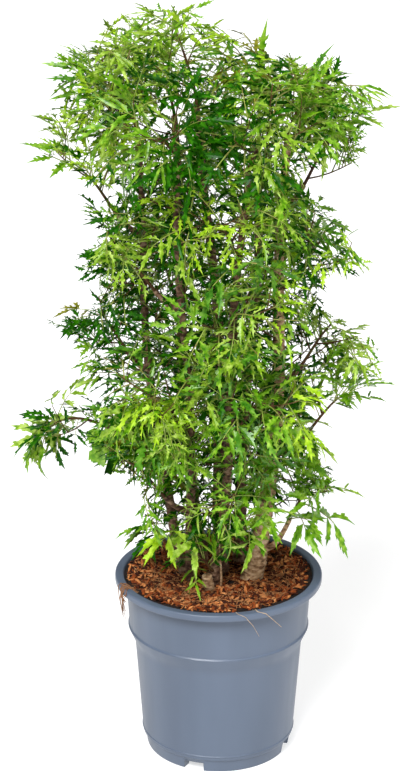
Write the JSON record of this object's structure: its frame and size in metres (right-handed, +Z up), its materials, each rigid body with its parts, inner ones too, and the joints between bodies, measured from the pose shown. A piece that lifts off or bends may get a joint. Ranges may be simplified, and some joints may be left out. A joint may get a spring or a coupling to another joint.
{
  "type": "potted ming aralia",
  "caption": "Potted ming aralia: a clump of upright woody stems with spreading boughs and feathery, deeply cut leaves, in a round tapered nursery pot filled with coir mix.",
  "frame": {"origin": "on the floor under the centre of the plant's bounding box", "axes": "+Z up along the stems, +X to the right and +Y to the back as the picture shows the plant"},
  "size_m": [0.3737, 0.3509, 0.77],
  "materials": {
    "pot": "blue-grey satin moulded plastic",
    "soil": "coarse brown coir chips and fibre",
    "bark": "grey-brown bark with ring scars",
    "leaf": "fresh green leaf with a soft gloss"
  },
  "bodies": {
    "root": {"pot": "pot", "soil": "soil", "stem_right": "bark", "stem_front": "bark", "stem_left": "bark", "stem_backLeft": "bark", "stem_backRight": "bark", "stem_centre": "bark", "stem_frontLeft": "bark", "bough_high_right": "bark", "bough_high_left": "bark", "bough_upper_right": "bark", "bough_upper_left": "bark", "bough_middle_right": "bark", "bough_middle_left": "bark", "bough_lower_far_right": "bark", "bough_lower_far_left": "bark", "bough_lower_right": "bark", "bough_lower_left": "bark", "leaves_crown_apex": "leaf", "leaves_crown_right": "leaf", "leaves_crown_left": "leaf", "leaves_crown_front_right": "leaf", "leaves_crown_front_left": "leaf", "leaves_crown_back_left": "leaf", "leaves_crown_back_right": "leaf", "leaves_high_right": "leaf", "leaves_high_left": "leaf", "leaves_high_front": "leaf", "leaves_high_back": "leaf", "leaves_upper_right": "leaf", "leaves_upper_left": "leaf", "leaves_upper_front": "leaf", "leaves_upper_back_left": "leaf", "leaves_upper_back_right": "leaf", "leaves_middle_right": "leaf", "leaves_middle_left": "leaf", "leaves_middle_front_left": "leaf", "leaves_middle_front_right": "leaf", "leaves_middle_back": "leaf", "leaves_lower_far_right": "leaf", "leaves_lower_far_left": "leaf", "leaves_lower_right": "leaf", "leaves_lower_left": "leaf", "leaves_lower_front": "leaf", "leaves_lower_back_left": "leaf", "leaves_lower_back_right": "leaf", "leaves_basal_left": "leaf", "leaves_basal_front": "leaf"}
  },
  "joints": []
}
